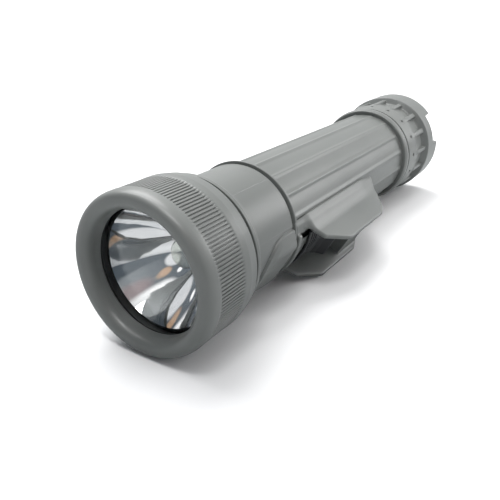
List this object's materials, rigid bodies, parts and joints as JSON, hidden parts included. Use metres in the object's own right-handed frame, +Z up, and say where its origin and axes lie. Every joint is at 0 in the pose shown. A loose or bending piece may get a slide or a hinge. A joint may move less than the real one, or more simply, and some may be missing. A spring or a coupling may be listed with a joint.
{
  "type": "firefighter flashlight",
  "caption": "Straight-body handheld flashlight with screw-on lens ring, fluted battery tube, guarded slide switch with signal button, and ribbed screw cap.",
  "frame": {"origin": "centre of the tail cap's flat end face, on the optical axis", "axes": "-Y along the light beam, from the tail to the lens; +Z up as the light lies on its head ring, tail ring and lower guard wing; the switch points 30 degrees below +X"},
  "size_m": [0.0611, 0.216, 0.054],
  "materials": {
    "housing": "satin moulded plastic, grey",
    "switch_black": "satin black",
    "insulator": "matt black",
    "seal_rubber": "matt",
    "mirror": "vacuum-metallised",
    "lens_clear": "polished clear plastic",
    "bulb_glass": "clear glass",
    "brass": "stamped",
    "spring_steel": "drawn wire",
    "cell_jacket": "gloss film"
  },
  "bodies": {
    "body": {"body_shell": "housing", "switch_housing": "housing", "bulkhead": "insulator", "centre_contact": "brass", "contact_spring": "spring_steel", "front_strip": "brass", "rear_strip": "brass", "signal_leaf": "brass", "battery_front": "cell_jacket", "battery_rear": "cell_jacket", "head_seal": "seal_rubber", "tail_seal": "seal_rubber"},
    "lens_pack": {"lens": "lens_clear", "lens_gasket": "seal_rubber", "reflector": "mirror", "bulb_glass": "bulb_glass", "bulb_base": "brass", "bulb_filament": "spring_steel", "bulb_holder": "insulator"},
    "head": {"head_ring": "housing"},
    "slide": {"switch_slide": "switch_black", "slide_contact": "brass"},
    "button": {"signal_button": "switch_black"},
    "spring_pack": {"tail_spring": "spring_steel", "tail_contact": "brass"},
    "cap": {"tail_cap": "housing", "spare_holder": "seal_rubber", "spare_base": "brass", "spare_glass": "bulb_glass"}
  },
  "joints": [
    {"name": "head_pack_advance", "type": "slide", "parent": "body", "child": "lens_pack", "axis": [0, -1, 0], "range_m": [0, 0.006]},
    {"name": "head_ring_turn", "type": "hinge", "parent": "lens_pack", "child": "head", "pos_m": [0, -0.2, 0], "axis": [0, -1, 0], "range_deg": [0, 725]},
    {"name": "spring_pack_advance", "type": "slide", "parent": "body", "child": "spring_pack", "axis": [0, 1, 0], "range_m": [0, 0.008]},
    {"name": "tail_cap_turn", "type": "hinge", "parent": "spring_pack", "child": "cap", "pos_m": [0, -0.01, 0], "axis": [0, 1, 0], "range_deg": [0, 725]},
    {"name": "switch_travel", "type": "slide", "parent": "body", "child": "slide", "axis": [0, -1, 0], "range_m": [0, 0.005]},
    {"name": "signal_press", "type": "slide", "parent": "body", "child": "button", "axis": [-0.866, 0, 0.5], "range_m": [0, 0.0015], "stiffness_N_per_m": 600, "springref_m": -0.0008}
  ],
  "couplings": [
    {"joint": "head_ring_turn", "follows": "head_pack_advance", "rad_per_m": 2094.4},
    {"joint": "tail_cap_turn", "follows": "spring_pack_advance", "rad_per_m": 1570.8}
  ]
}
